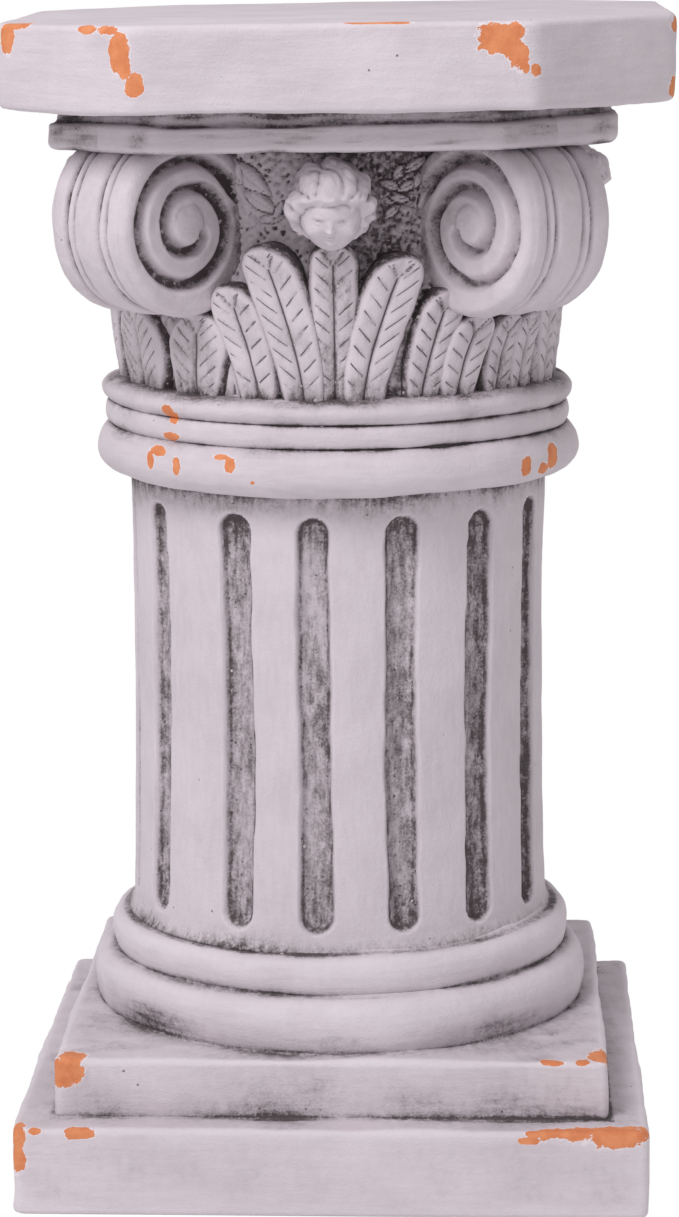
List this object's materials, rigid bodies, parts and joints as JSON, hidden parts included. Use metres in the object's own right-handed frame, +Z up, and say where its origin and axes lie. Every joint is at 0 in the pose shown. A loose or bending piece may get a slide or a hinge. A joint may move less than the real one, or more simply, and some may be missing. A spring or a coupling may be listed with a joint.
{
  "type": "pedestal plant stand",
  "caption": "Short column in hollow painted terracotta that holds a plant pot: stepped square foot, fluted shaft, bell of leaves with scrolls and cherub heads, square top with cut corners.",
  "frame": {"origin": "on the ground under the middle of the square foot", "axes": "+Z up along the column's axis, -Y towards the front side that carries a cherub head, +X to the right of it"},
  "size_m": [0.229, 0.229, 0.406],
  "materials": {
    "painted_terracotta": "matt pale paint rubbed with a dark wash over orange terracotta"
  },
  "bodies": {
    "root": {"pedestal": "painted_terracotta"}
  },
  "joints": []
}
